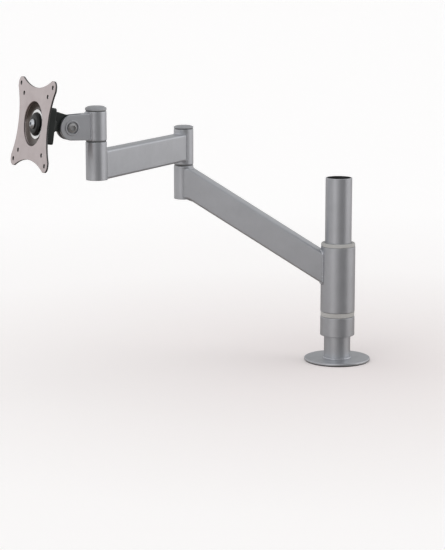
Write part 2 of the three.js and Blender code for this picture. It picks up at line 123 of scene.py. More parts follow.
POLE = Matrix.Identity(4)
ELBOW = upright_frame(pivot("elbow_turn"), pivot("wrist_turn"))
LINK = upright_frame(pivot("elbow_turn"), Vector((0, 0, 0)))
WRIST = upright_frame(pivot("wrist_turn"), pivot("head_tilt"))
LINK_LENGTH = pivot("elbow_turn").xy.length
FOREARM_LENGTH = (pivot("wrist_turn") - pivot("elbow_turn")).xy.length
TILT_REACH = (pivot("head_tilt") - pivot("wrist_turn")).xy.length

FACING = Vector(JOINTS["plate_turn"]["axis"]).normalized()
ACROSS = -Vector(JOINTS["head_tilt"]["axis"]).normalized()
TILT = axes_frame(pivot("head_tilt"), FACING, ACROSS, FACING.cross(ACROSS))
# The turning axis as Z, for everything round the screen plate's centre
FACE = axes_frame(pivot("head_tilt"), ACROSS, FACING.cross(ACROSS), FACING)
# The tilt bolt's axis as Z, pointing out of its head
EAR_X = Vector(WRIST.col[0][:3])
EAR_Y = Vector(WRIST.col[1][:3])
BOLT = axes_frame(pivot("head_tilt"), EAR_X, -Vector((0, 0, 1)), EAR_Y)
# Across the clevis ears: X along the head, Y up, Z out of the far ear
EAR = axes_frame(pivot("head_tilt"), EAR_X, Vector((0, 0, 1)), -EAR_Y)


class Size:
    """A CAD node's radii about a frame's Z axis, and its ends along it."""

    def __init__(self, node, axes):
        inverse = axes.inverted()
        co = np.array([inverse @ v.co for v in frame["nodes"][node].data.vertices])
        radii = np.hypot(co[:, 0], co[:, 1])
        self.bore, self.r = float(radii.min()), float(radii.max())
        self.z0, self.z1 = float(co[:, 2].min()), float(co[:, 2].max())


# ------------------------------------------------------------------ node materials


def noise(tree, scale, detail=3.0):
    """A noise texture on the object's own coordinates; scale is in cells to a metre."""
    coordinates = tree.nodes.new("ShaderNodeTexCoord")
    texture = tree.nodes.new("ShaderNodeTexNoise")
    texture.inputs["Scale"].default_value = scale
    texture.inputs["Detail"].default_value = detail
    texture.inputs["Roughness"].default_value = 0.55
    tree.links.new(coordinates.outputs["Object"], texture.inputs["Vector"])
    return texture


def ramp(tree, source, stops):
    """A colour ramp; each stop is a place and a grey level or colour."""
    node = tree.nodes.new("ShaderNodeValToRGB")
    elements = node.color_ramp.elements
    while len(elements) < len(stops):
        elements.new(0.5)
    for element, (place, value) in zip(elements, stops):
        element.position = place
        colour = (value, value, value) if isinstance(value, (int, float)) else value
        element.color = (*colour, 1)
    tree.links.new(source, node.inputs["Fac"])
    return node.outputs["Color"]


def mixed(tree, factor, a, b, blend="MIX"):
    node = tree.nodes.new("ShaderNodeMix")
    node.data_type = "RGBA"
    node.blend_type = blend
    tree.links.new(a, node.inputs[6])
    tree.links.new(b, node.inputs[7])
    if isinstance(factor, (int, float)):
        node.inputs[0].default_value = factor
    else:
        tree.links.new(factor, node.inputs[0])
    return node.outputs[2]


def surface(name, metallic, colours, roughness, grain, dents, coat=0.0):
    """A Principled material.

    colours: dark, middle and light tones of the slow mottling. roughness: least and most.
    grain: (scale, strength, height in metres) of the fine bump; dents: the same for the slow one.
    """
    material = bpy.data.materials.new(name)
    material.use_nodes = True
    tree = material.node_tree
    shader = tree.nodes["Principled BSDF"]
    shader.inputs["Metallic"].default_value = metallic
    if coat:
        shader.inputs["Coat Weight"].default_value = coat
        shader.inputs["Coat Roughness"].default_value = 0.22
    slow = noise(tree, 38, detail=4)
    dark, middle, light = colours
    mottled = ramp(tree, slow.outputs["Fac"], [(0.3, dark), (0.5, middle), (0.72, light)])
    fine = noise(tree, grain[0], detail=2)
    speckle = ramp(tree, fine.outputs["Fac"], [(0.28, dark), (0.52, middle), (0.8, light)])
    tree.links.new(mixed(tree, 0.5, mottled, speckle), shader.inputs["Base Color"])
    cloudy = noise(tree, 120, detail=5)
    low, high = roughness
    tree.links.new(ramp(tree, cloudy.outputs["Fac"], [(0.3, low), (0.7, high)]), shader.inputs["Roughness"])
    normal = None
    for source, (scale, strength, height) in ((fine, grain), (noise(tree, dents[0], 2), dents)):
        bump = tree.nodes.new("ShaderNodeBump")
        bump.inputs["Strength"].default_value = strength
        bump.inputs["Distance"].default_value = height
        tree.links.new(source.outputs["Fac"], bump.inputs["Height"])
        if normal:
            tree.links.new(normal, bump.inputs["Normal"])
        normal = bump.outputs["Normal"]
    tree.links.new(normal, shader.inputs["Normal"])
    return material


def grey(level, tint=(1, 1, 1)):
    return tuple(level * t for t in tint)


COOL = (0.965, 0.99, 1.05)
SILVER = surface(
    "silver_coat", 0.8, (grey(0.42, COOL), grey(0.46, COOL), grey(0.5, COOL)), (0.3, 0.4),
    (2600, 0.4, 0.00005), (420, 0.3, 0.00012), coat=0.1,
)
PLATED = surface(
    "plated_sheet", 1.0,
    (grey(0.42, (1, 0.87, 0.87)), grey(0.46, (1, 0.88, 0.88)), grey(0.5, (1, 0.89, 0.89))),
    (0.27, 0.36), (1500, 0.2, 0.00002), (120, 0.15, 0.00006),
)
RING_STEEL = surface(
    "ring_steel", 1.0, (grey(0.62), grey(0.7), grey(0.78)), (0.16, 0.28),
    (1700, 0.2, 0.00003), (300, 0.2, 0.00008),
)
# Painted shade: the dark brown stands in for the shade and dark reflections inside the recessed dish.
BOWL_SHADE = surface(
    "bowl_painted_shade", 0.9,
    (grey(0.07, (1, 0.84, 0.77)), grey(0.1, (1, 0.86, 0.8)), grey(0.14, (1, 0.88, 0.83))),
    (0.16, 0.26), (1500, 0.2, 0.00003), (160, 0.15, 0.00006),
)
# Raw sheared steel, made much darker than steel: partly painted shade for the shadowed walls of the holes.
SHEARED_AND_SHADE = surface(
    "sheared_edge_and_painted_shade", 0.9, (grey(0.07, (1, 0.95, 0.93)), grey(0.1), grey(0.14)), (0.4, 0.6),
    (1900, 0.4, 0.00008), (300, 0.3, 0.0001),
)
ZINC = surface(
    "zinc_steel", 1.0, (grey(0.42, (1, 0.99, 0.95)), grey(0.52, COOL), grey(0.62, COOL)), (0.25, 0.42),
    (1800, 0.25, 0.00004), (350, 0.2, 0.0001),
)
BLACK = surface(
    "black_coat", 0.0,
    (grey(0.006, (0.75, 1.2, 1.1)), grey(0.011, (0.75, 1.2, 1.1)), grey(0.02, (0.8, 1.2, 1.1))),
    (0.34, 0.5), (1500, 0.5, 0.00012), (300, 0.3, 0.0002),
)
BLACK_PLASTIC = surface(
    "black_plastic", 0.0, (grey(0.003), grey(0.005), grey(0.008)), (0.3, 0.42),
    (2200, 0.4, 0.00006), (250, 0.2, 0.0001),
)
BLACK_PLASTIC.node_tree.nodes["Principled BSDF"].inputs["Specular IOR Level"].default_value = 0.25
NYLON = surface(
    "pale_nylon", 0.0, (grey(0.38, (1, 0.99, 0.95)), grey(0.42, (1, 0.99, 0.96)), grey(0.46, (1, 1, 0.98))),
    (0.4, 0.55), (1500, 0.3, 0.00005), (220, 0.2, 0.0001),
)
CAP_GREY = surface(
    "grey_cap", 0.0, (grey(0.3), grey(0.34, COOL), grey(0.38, COOL)), (0.35, 0.5),
    (1900, 0.4, 0.00006), (240, 0.2, 0.0001),
)
# Mid-dark grey: the seam washers' own colour, and painted shade on the ring under each cap.
SEAL_GREY_AND_SHADE = surface(
    "grey_seal_and_painted_shade", 0.0, (grey(0.13), grey(0.16), grey(0.19)), (0.45, 0.6),
    (1700, 0.3, 0.00006), (260, 0.2, 0.0001),
)
DULL_STEEL = surface(
    "dull_steel", 0.75, (grey(0.33, (1, 0.99, 0.97)), grey(0.37), grey(0.41, COOL)), (0.38, 0.5),
    (1800, 0.3, 0.00005), (350, 0.2, 0.0001),
)
DARK_NYLON = surface(
    "dark_nylon", 0.0, (grey(0.01), grey(0.016), grey(0.024)), (0.4, 0.6),
    (1700, 0.3, 0.00006), (260, 0.2, 0.0001),
)
RUBBER = surface(
    "rubber", 0.0, (grey(0.008), grey(0.012), grey(0.02)), (0.7, 0.9),
    (1300, 0.6, 0.00012), (210, 0.3, 0.0002),
)
BRASS = surface(
    "brass", 1.0, (grey(0.5, (1, 0.75, 0.38)), grey(0.58, (1, 0.78, 0.42)), grey(0.66, (1, 0.8, 0.46))),
    (0.22, 0.38), (1800, 0.25, 0.00004), (350, 0.2, 0.0001),
)
# Bare steel made much darker than steel: partly painted shade for the inside of the pole's bore.
BARE_STEEL_SHADE = surface(
    "bare_steel_painted_shade", 0.9, (grey(0.05, (1, 0.93, 0.88)), grey(0.08), grey(0.11)), (0.4, 0.6),
    (1400, 0.4, 0.0001), (300, 0.3, 0.0002),
)
BY_SLOT = {
    "silver_coat": SILVER, "plated_sheet": PLATED, "zinc_steel": ZINC, "black_coat": BLACK,
    "black_plastic": BLACK_PLASTIC, "pale_nylon": NYLON, "grey_cap": CAP_GREY,
    "dark_nylon": DARK_NYLON, "rubber": RUBBER, "brass": BRASS,
}
NODE_SLOT = {s["node"]: s["material_slot"] for s in frame["record"]["subparts"]}

# ------------------------------------------------------------------ mesh helpers


def rounded(points, radii, steps=5, closed=True):
    """A 2-D path whose corners are replaced by arcs of the given radii."""
    if isinstance(radii, (int, float)):
        radii = [radii] * len(points)
    made = []
    count = len(points)
    for i, (x, y) in enumerate(points):
        here = Vector((x, y))
        inner = closed or 0 < i < count - 1
        if not radii[i] or not inner:
            made.append((x, y))
            continue
        back = Vector(points[i - 1]) - here
        ahead = Vector(points[(i + 1) % count]) - here
        half = back.angle(ahead) / 2
        if half > math.radians(88):
            made.append((x, y))
            continue
        run = min(radii[i] / math.tan(half), 0.49 * back.length, 0.49 * ahead.length)
        radius = run * math.tan(half)
        centre = here + (back.normalized() + ahead.normalized()).normalized() * (radius / math.sin(half))
        start = here + back.normalized() * run - centre
        turn = start.angle_signed(here + ahead.normalized() * run - centre)
        for k in range(steps + 1):
            made.append(tuple(centre + Matrix.Rotation(-turn * k / steps, 2) @ start))
    return made


def mesh_from(verts, faces):
    mesh = bpy.data.meshes.new("made")
    mesh.from_pydata([tuple(v) for v in verts], [], faces)
    bm = bmesh.new()
    bm.from_mesh(mesh)
    bmesh.ops.recalc_face_normals(bm, faces=bm.faces)
    bm.to_mesh(mesh)
    bm.free()
    return mesh


def turned(profile, segments=112, closed=True):
    """A profile of (radius, height) points turned about Z; radius 0 makes a pole."""
    verts, rings = [], []
    for r, z in profile:
        start = len(verts)
        if r < 1e-7:
            verts.append((0, 0, z))
            rings.append([start])
            continue
        for i in range(segments):
            angle = 2 * math.pi * i / segments
            verts.append((r * math.cos(angle), r * math.sin(angle), z))
        rings.append(list(range(start, start + segments)))
    pairs = list(zip(rings, rings[1:]))
    if closed and len(rings[0]) > 1 and len(rings[-1]) > 1:
        pairs.append((rings[-1], rings[0]))
    faces = []
    for a, b in pairs:
        for i in range(segments):
            j = (i + 1) % segments
            if len(a) == 1 and len(b) == 1:
                continue
            if len(a) == 1:
                faces.append((a[0], b[i], b[j]))
            elif len(b) == 1:
                faces.append((a[i], a[j], b[0]))
            else:
                faces.append((a[i], a[j], b[j], b[i]))
    return mesh_from(verts, faces)


def ring(bore, r, z0, z1, edges=(0.4, 0.4), segments=112):
    """A tube with rounded outer edges, in millimetres: the bottom edge's radius and the top edge's."""
    low, high = (e * MM for e in edges)
    inner = min(low, high, (r - bore) * 0.4)
    path = [(bore, z0), (r, z0), (r, z1), (bore, z1)]
    return turned(rounded(path, [inner, low, high, inner], 6), segments)


def lofted(sections, caps=True):
    """Rings of points joined in order; the ends are closed with one face each."""
    count = len(sections[0])
    verts = [p for section in sections for p in section]
    faces = []
    for s in range(len(sections) - 1):
        a, b = s * count, (s + 1) * count
        for i in range(count):
            j = (i + 1) % count
            faces.append((a + i, a + j, b + j, b + i))
    if caps:
        faces.append(tuple(range(count))[::-1])
        last = (len(sections) - 1) * count
        faces.append(tuple(range(last, last + count)))
    return mesh_from(verts, faces)


def rectangle(width, height, corner, steps=6):
    w, h = width / 2, height / 2
    return rounded([(-w, -h), (w, -h), (w, h), (-w, h)], corner, steps)


def circle(x, y, r, count=48):
    return [
        (x + r * math.cos(2 * math.pi * i / count), y + r * math.sin(2 * math.pi * i / count))
        for i in range(count)
    ]


def sheet(outline, holes, thickness, edge, steps=3):
    """A flat piece in the XY plane, centred on z = 0, whose edges are rounded."""
    curve = bpy.data.curves.new("outline", "CURVE")
    curve.dimensions = "2D"
    curve.fill_mode = "BOTH"
    curve.extrude = thickness / 2 - edge
    curve.bevel_depth = edge
    curve.bevel_resolution = steps
    curve.offset = -edge
    for loop, wanted in [(outline, 1)] + [(h, -1) for h in holes]:
        area = sum(a[0] * b[1] - b[0] * a[1] for a, b in zip(loop, loop[1:] + loop[:1]))
        points = loop if area * wanted > 0 else loop[::-1]
        spline = curve.splines.new("POLY")
        spline.points.add(len(points) - 1)
        for p, (x, y) in zip(spline.points, points):
            p.co = (x, y, 0, 1)
        spline.use_cyclic_u = True
    holder = bpy.data.objects.new("outline", curve)
    bpy.context.scene.collection.objects.link(holder)
    mesh = evaluated_mesh(holder)
    bpy.data.objects.remove(holder)
    bm = bmesh.new()
    bm.from_mesh(mesh)
    bmesh.ops.remove_doubles(bm, verts=bm.verts, dist=2e-6)
    bmesh.ops.recalc_face_normals(bm, faces=bm.faces)
    bm.to_mesh(mesh)
    bm.free()
    return mesh


def evaluated_mesh(obj):
    bpy.context.view_layer.update()
    dg = bpy.context.evaluated_depsgraph_get()
    return bpy.data.meshes.new_from_object(obj.evaluated_get(dg), depsgraph=dg)


def joined(*meshes):
    """One mesh that holds all of them, without merging where they overlap."""
    bm = bmesh.new()
    for mesh in meshes:
        bm.from_mesh(mesh)
    whole = bpy.data.meshes.new("joined")
    bm.to_mesh(whole)
    bm.free()
    return whole


def combined(mesh, tool, operation="DIFFERENCE"):
    """An exact boolean of two meshes."""
    objects = []
    for data in (mesh, tool):
        obj = bpy.data.objects.new("operand", data)
        bpy.context.scene.collection.objects.link(obj)
        objects.append(obj)
    modifier = objects[0].modifiers.new("boolean", "BOOLEAN")
    modifier.operation = operation
    modifier.solver = "EXACT"
    modifier.object = objects[1]
    result = evaluated_mesh(objects[0])
    for obj in objects:
        bpy.data.objects.remove(obj)
    return result


def moved(mesh, matrix):
    mesh.transform(matrix)
    return mesh


def shift(x=0.0, y=0.0, z=0.0):
    return Matrix.Translation((x, y, z))


def add(name, mesh, axes, body, material, slot, replaces=(), sharp=32, inner=None, inner_test=None):
    """Puts a mesh into the scene as a piece of one CAD body."""
    mesh.transform(axes)
    mesh.name = name
    mesh.materials.clear()
    mesh.materials.append(material)
    if inner:
        mesh.materials.append(inner)
        back = axes.inverted()
        for face in mesh.polygons:
            if inner_test(back @ face.center, back.to_3x3() @ face.normal):
                face.material_index = 1
    mesh.shade_smooth()
    mesh.set_sharp_from_angle(angle=math.radians(sharp))
    obj = bpy.data.objects.new(name, mesh)
    bpy.context.scene.collection.objects.link(obj)
    weighted = obj.modifiers.new("weighted_normals", "WEIGHTED_NORMAL")
    weighted.keep_sharp = True
    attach(obj, body)
    if replaces:
        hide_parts(*replaces)
    return obj


def add_for(node, mesh, axes, material=None, **options):
    """A piece that stands for one CAD node, with that node's body and finish unless another is given."""
    slot = NODE_SLOT[node]
    body = frame["nodes"][node]["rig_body"]
    return add(f"{node}_shaped", mesh, axes, body, material or BY_SLOT[slot], slot, (node,), **options)


def hexagon(flats):
    r = flats / 2 / math.cos(math.pi / 6)
    return [(r * math.cos(i * math.pi / 3), r * math.sin(i * math.pi / 3)) for i in range(6)]


def prism(outline, z0, z1):
    return lofted([[(x, y, z0) for x, y in outline], [(x, y, z1) for x, y in outline]])


def hex_nut(flats, bore, z0, z1):
    """A nut with the usual chamfered corners and a countersunk bore."""
    height = z1 - z0
    corner = flats / 2 / math.cos(math.pi / 6)
    blank = prism(hexagon(flats), z0, z1)
    dome = [
        (0, z0 - MM), (flats * 0.46, z0 - MM), (flats * 0.48, z0), (corner + 0.1 * MM, z0 + height * 0.2),
        (corner + 0.1 * MM, z1 - height * 0.2), (flats * 0.48, z1), (flats * 0.46, z1 + MM), (0, z1 + MM),
    ]
    body = combined(blank, turned(dome, 72), "INTERSECT")
    sink = 0.8 * MM
    hole = [
        (0, z0 - MM), (bore + sink + MM, z0 - MM), (bore + sink, z0), (bore, z0 + sink),
        (bore, z1 - sink), (bore + sink, z1), (bore + sink + MM, z1 + MM), (0, z1 + MM),
    ]
    return combined(body, turned(hole, 60))


def threaded_rod(r, z0, z1, pitch, depth, chamfer, segments=48, per_turn=7):
    """A rod with a helical thread and chamfered ends."""
    rows = int((z1 - z0) / pitch * per_turn)
    verts = []
    for k in range(rows + 1):
        z = z0 + (z1 - z0) * k / rows
        near_end = min(z - z0, z1 - z)
        limit = r - max(0.0, chamfer - near_end)
        for i in range(segments):
            phase = (z / pitch - i / segments) % 1
            tooth = 1 - abs(2 * phase - 1)
            local = min(r - depth + depth * min(1.0, 1.25 * tooth), limit)
            angle = 2 * math.pi * i / segments
            verts.append((local * math.cos(angle), local * math.sin(angle), z))
    sections = [verts[k * segments:(k + 1) * segments] for k in range(rows + 1)]
    return lofted(sections)


def bead(path, radius, ripple=0.16, pitch=2.4 * MM, sides=10):
    """A weld or a cast fillet swept along a closed path; radius may be one number per point."""
    radii = radius if isinstance(radius, list) else [radius] * len(path)
    count = len(path)
    points = [Vector(p) for p in path]
    travelled = 0.0
    sections = []
    for i, here in enumerate(points):
        before, after = points[i - 1], points[(i + 1) % count]
        travelled += (here - before).length
        along = (after - before).normalized()
        if abs(along.z) > 0.9:
            side = (Vector((1, 0, 0)) - along * along.x).normalized()
        else:
            side = along.cross(Vector((0, 0, 1))).normalized()
        up = side.cross(along).normalized()
        wave = 1 + ripple * (math.sin(2 * math.pi * travelled / pitch) + RNG.uniform(-0.25, 0.25))
        r = radii[i] * wave
        sections.append([
            here + (side * math.cos(a) + up * math.sin(a)) * r
            for a in (2 * math.pi * k / sides for k in range(sides))
        ])
    verts = [p for section in sections for p in section]
    faces = []
    for s in range(count):
        a, b = s * sides, ((s + 1) % count) * sides
        nudge = best_turn(sections[s], sections[(s + 1) % count])
        for i in range(sides):
            j = (i + 1) % sides
            faces.append((a + i, a + j, b + (j + nudge) % sides, b + (i + nudge) % sides))
    return mesh_from(verts, faces)


def best_turn(a, b):
    """The turn of ring b that lines it up with ring a."""
    sides = len(a)

    def gap(turn):
        return sum((a[i] - b[(i + turn) % sides]).length for i in range(0, sides, 3))

    return min(range(sides), key=gap)


def dense(path, step):
    """A closed path resampled so that its points are about one step apart."""
    made = []
    for a, b in zip(path, path[1:] + path[:1]):
        a, b = Vector(a), Vector(b)
        parts = max(1, round((b - a).length / step))
        made += [a.lerp(b, k / parts) for k in range(parts)]
    return made


def dense_outline(outline, step):
    """The same for a flat outline, as pairs."""
    return [(p.x, p.y) for p in dense([(a, b, 0) for a, b in outline], step)]


# ------------------------------------------------------------------ base and desk clamp

s = Size("base_pad", POLE)
add_for("base_pad", ring(s.bore, s.r, s.z0, s.z1, (0.3, 0.5), 160), POLE)
s = Size("base_flange", POLE)
add_for("base_flange", ring(s.bore, s.r, s.z0, s.z1, (0.5, 1.3), 176), POLE)
FLANGE_TOP = s.z1

pole = Size("pole", POLE)
# The bore's wall gets the darkened bare steel, painted shade inside the tube.
add_for(
    "pole", ring(pole.bore, pole.r, FLANGE_TOP - 0.5 * MM, pole.z1, (0.2, 0.7), 144), POLE,
    inner=BARE_STEEL_SHADE, inner_test=lambda p, n: p.xy.length < pole.bore + 0.2 * MM,
)
foot_path = circle(0, 0, pole.r + 0.4 * MM, 150)
add("pole_foot_weld", bead([(x, y, FLANGE_TOP + 0.3 * MM) for x, y in foot_path], 1.5 * MM, 0.1),
    POLE, "base", SILVER, "silver_coat")

s = Size("desk_stud", POLE)
add_for("desk_stud", threaded_rod(s.r, s.z0, s.z1, 1.5 * MM, 0.9 * MM, 1.2 * MM), POLE)

s = Size("clamp_pad", POLE)
grooved = [(s.bore, s.z0), (s.r, s.z0), (s.r, s.z1)]
for k in range(6):
    outer = s.r - (3 + 4.6 * k) * MM
    grooved += [(outer, s.z1), (outer - 0.5 * MM, s.z1 - 0.7 * MM), (outer - 1.6 * MM, s.z1 - 0.7 * MM),
                (outer - 2.1 * MM, s.z1)]
grooved.append((s.bore, s.z1))
add_for("clamp_pad", turned(rounded(grooved, [0, 0.4 * MM, 0.4 * MM] + [0.15 * MM] * 24 + [0], 3), 128), POLE)
s = Size("clamp_plate", POLE)
add_for("clamp_plate", ring(s.bore, s.r, s.z0, s.z1, (1.1, 0.8), 144), POLE)
s = Size("clamp_washer", POLE)
add_for("clamp_washer", ring(s.bore, s.r, s.z0, s.z1, (0.35, 0.35)), POLE)

s = Size("hand_nut", POLE)
LOBES = 6
lobed = []
for k in range(180):
    angle = 2 * math.pi * k / 180
    reach = s.r * (0.87 + 0.13 * math.cos(LOBES * angle))
    lobed.append((reach * math.cos(angle), reach * math.sin(angle)))
knob = sheet(lobed, [circle(0, 0, s.bore, 64)], s.z1 - s.z0 - 1.6 * MM, 2.2 * MM, 5)
knob = moved(knob, shift(z=(s.z0 + s.z1) / 2))
hub = ring(s.bore, s.bore + 4.5 * MM, s.z0, s.z1, (1.0, 1.0))
add_for("hand_nut", joined(knob, hub), POLE)
s = Size("hand_nut_insert", POLE)
add_for("hand_nut_insert", ring(s.bore, s.r, s.z0, s.z1, (0.8, 0.3)), POLE)

# ------------------------------------------------------------------ collar and sleeve on the pole

collar = Size("stop_collar", POLE)
screw = Size("collar_set_screw", POLE)
SCREW_Z = (screw.z0 + screw.z1) / 2
SCREW_AXIS = axes_frame(Vector((0, 0, SCREW_Z)), Vector((1, 0, 0)), Vector((0, 0, -1)), Vector((0, 1, 0)))
screw_size = Size("collar_set_screw", SCREW_AXIS)
SCREW_R = (screw.z1 - screw.z0) / 2
tapped = turned([(0, 0.012), (SCREW_R + GAP, 0.012), (SCREW_R + GAP, collar.r - 0.6 * MM),
                 (SCREW_R + 1.6 * MM, collar.r + 0.6 * MM), (0, collar.r + 0.6 * MM)], 60)
body = combined(ring(collar.bore, collar.r, collar.z0, collar.z1, (0.8, 0.8), 144), moved(tapped, SCREW_AXIS))
add_for("stop_collar", body, POLE)
grub = threaded_rod(SCREW_R, screw_size.z0, screw_size.z1, 1.0 * MM, 0.5 * MM, 0.6 * MM, 40, 6)
key = prism(hexagon(3 * MM), screw_size.z1 - 3 * MM, screw_size.z1 + MM)
add_for("collar_set_screw", combined(grub, key), SCREW_AXIS)

sleeve = Size("sleeve", POLE)
add_for("sleeve", ring(sleeve.bore, sleeve.r, sleeve.z0, sleeve.z1, (0.6, 0.6), 144), POLE)
SPIGOT = sleeve.bore - GAP
s = Size("sleeve_lower_bush", POLE)
RIM = sleeve.z0 - GAP
add_for("sleeve_lower_bush", turned(rounded(
    [(s.bore, s.z0), (s.r, s.z0), (s.r, RIM), (SPIGOT, RIM), (SPIGOT, s.z1), (s.bore, s.z1)],
    [0.4 * MM, 0.8 * MM, 0.6 * MM, 0, 0.5 * MM, 0.3 * MM]), 144), POLE)
s = Size("sleeve_upper_bush", POLE)
RIM = sleeve.z1 + GAP
add_for("sleeve_upper_bush", turned(rounded(
    [(s.bore, s.z0), (SPIGOT, s.z0), (SPIGOT, RIM), (s.r, RIM), (s.r, s.z1 - 1.4 * MM),
     (s.r - 1.4 * MM, s.z1), (s.bore, s.z1)],
    [0.3 * MM, 0.5 * MM, 0, 0.5 * MM, 0.8 * MM, 0.8 * MM, 0.6 * MM]), 144), POLE)

# ------------------------------------------------------------------ rectangular links

HUB = Size("elbow_lower_hub", ELBOW)
BITE = 1.0 * MM  # how far a link's end runs into the tube that it is welded to


def swept_tube(width, height, corner, wall, stations):
    """A rectangular tube along X. Each station is (x, height of its middle)."""
    outer = rectangle(width, height, corner)
    inner = rectangle(width - 2 * wall, height - 2 * wall, max(corner - wall, 0.6 * MM))
    solid = lofted([[(x, a, z + b) for a, b in outer] for x, z in stations])
    hollow = lofted([[(x, a, z + b) for a, b in inner] for x, z in stations])
    return combined(solid, hollow)


def coped(mesh, r0, x0, r1, x1):
    """The tube's two ends cut to the uprights that they meet."""
    for r, x in ((r0, x0), (r1, x1)):
        mesh = combined(mesh, moved(turned([(0, -0.1), (r, -0.1), (r, 0.6), (0, 0.6)], 128), shift(x=x)))
    return mesh


LOWER_HEIGHT, LOWER_CORNER, LOWER_WALL = 45.6 * MM, 3.6 * MM, 2 * MM
LOWER_LEVEL, LOWER_SLOPE = 9 * MM, math.tan(math.radians(31.5))
low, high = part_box("lower_beam")
LOWER_WIDTH = high.y - low.y
LOWER_MIDDLE = high.z - LOWER_HEIGHT / 2


def lower_z(x):
    """Height of the lower link's middle line, x from the elbow, with a short curve at the bend."""
    soft = 2 * MM
    if x < LOWER_LEVEL - soft:
        return LOWER_MIDDLE
    if x > LOWER_LEVEL + soft:
        return LOWER_MIDDLE - (x - LOWER_LEVEL) * LOWER_SLOPE
    t = x - LOWER_LEVEL + soft
    return LOWER_MIDDLE - LOWER_SLOPE * t * t / (4 * soft)


bend = [LOWER_LEVEL + (k / 4 - 1) * 2 * MM for k in range(9)]
stations = [(x, lower_z(x)) for x in [0.0] + bend + [LINK_LENGTH * 0.5, LINK_LENGTH]]
link = swept_tube(LOWER_WIDTH, LOWER_HEIGHT, LOWER_CORNER, LOWER_WALL, stations)
link = coped(link, HUB.r - BITE, 0, sleeve.r - BITE, LINK_LENGTH)
add_for("lower_beam", link, LINK)

low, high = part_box("forearm_beam")
FOREARM_WALL, FOREARM_CORNER = 2 * MM, 3.2 * MM
FOREARM_HEIGHT = high.z - low.z
FOREARM_MIDDLE = (high.z + low.z) / 2
across = [(ELBOW.inverted() @ v.co).y for v in frame["nodes"]["forearm_beam"].data.vertices]
FOREARM_WIDTH = max(across) - min(across)
stations = [(x, FOREARM_MIDDLE) for x in (0, FOREARM_LENGTH / 2, FOREARM_LENGTH)]
link = swept_tube(FOREARM_WIDTH, FOREARM_HEIGHT, FOREARM_CORNER, FOREARM_WALL, stations)
link = coped(link, HUB.r - BITE, 0, HUB.r - BITE, FOREARM_LENGTH)
add_for("forearm_beam", link, ELBOW)


def weld(name, axes, body, section, tube_r, tube_x, sign, middle, radius, thin=1.0, ripple=0.16):
    """The bead round a link's end: section (across, up) points carried onto the upright tube."""
    path, radii = [], []
    for y, z in dense_outline(section, 1.1 * MM):
        inside = math.sqrt(max(tube_r * tube_r - y * y, 0.0))
        x = tube_x + sign * inside
        share = inside / tube_r
        path.append((x, y, middle(x) + z))
        radii.append(radius * (thin + (1 - thin) * min(1.0, share * 1.6)))
    return add(name, bead(path, radii, ripple), axes, body, SILVER, "silver_coat")


lower_section = rectangle(LOWER_WIDTH, LOWER_HEIGHT, LOWER_CORNER, 5)
forearm_section = rectangle(FOREARM_WIDTH, FOREARM_HEIGHT, FOREARM_CORNER, 5)
weld("lower_link_elbow_weld", LINK, "lower_arm", lower_section, HUB.r, 0, 1, lower_z, 1.3 * MM, 0.2)
weld("lower_link_sleeve_weld", LINK, "lower_arm", lower_section, sleeve.r, LINK_LENGTH, -1, lower_z, 1.9 * MM)
weld("forearm_elbow_weld", ELBOW, "forearm", forearm_section, HUB.r, 0, 1, lambda x: FOREARM_MIDDLE,
     1.3 * MM, 0.7)
weld("forearm_wrist_weld", ELBOW, "forearm", forearm_section, HUB.r, FOREARM_LENGTH, -1,
     lambda x: FOREARM_MIDDLE, 1.3 * MM, 0.7)

# ------------------------------------------------------------------ pivots at elbow and wrist

for name, axes in (("elbow", ELBOW), ("wrist", WRIST)):
    s = Size(f"{name}_lower_hub", axes)
    add_for(f"{name}_lower_hub", ring(s.bore, s.r, s.z0, s.z1, (0.8, 1.0), 112), axes)
    s = Size(f"{name}_end_plug", axes)
    plug = rounded([(0, s.z1), (s.r, s.z1), (s.r, s.z0 + 0.6 * MM), (s.r * 0.55, s.z0), (0, s.z0)],
                   [0, 0.5 * MM, 1.2 * MM, 1 * MM, 0], 5, closed=False)
    add_for(f"{name}_end_plug", turned(plug, 80, closed=False), axes)
    s = Size(f"{name}_seam_washer", axes)
    add_for(f"{name}_seam_washer", ring(s.bore, s.r, s.z0, s.z1, (0.3, 0.3)), axes, SEAL_GREY_AND_SHADE)
    s = Size(f"{name}_cap", axes)
    spigot = HUB.bore - GAP
    foot = Size(f"{name}_upper_hub" if name == "elbow" else "swivel_clevis", axes).z1 + GAP
    neck = 1.1 * MM
    under = foot + neck
    rise = s.z1 - under
    cap = rounded(
        [(0, under), (spigot, under), (spigot - 0.5 * MM, under), (s.r, under), (s.r, under + rise * 0.5),
         (s.r * 0.72, s.z1 - rise * 0.12), (0, s.z1)],
        [0, 0, 0, 0.5 * MM, 1.0 * MM, 6 * MM, 0], 7, closed=False)
    add_for(f"{name}_cap", turned(cap, 112, closed=False), axes)
    # A dark grey ring in the neck under the cap: painted shade where the cap's shadow falls.
    shade_ring = rounded(
        [(spigot - 1.6 * MM, s.z0), (spigot, s.z0), (spigot, foot), (s.r - 0.7 * MM, foot),
         (s.r - 0.7 * MM, under), (spigot - 1.6 * MM, under)],
        [0.3 * MM, 0.4 * MM, 0, 0.3 * MM, 0, 0], 4)
    rides = frame["nodes"][f"{name}_cap"]["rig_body"]
    add(f"{name}_cap_shade_ring", turned(shade_ring, 96), axes, rides, SEAL_GREY_AND_SHADE, "grey_cap")

s = Size("elbow_upper_hub", ELBOW)
add_for("elbow_upper_hub", ring(s.bore, s.r, s.z0, s.z1, (1.0, 1.1), 112), ELBOW)

# ------------------------------------------------------------------ clevis and tilt bolt

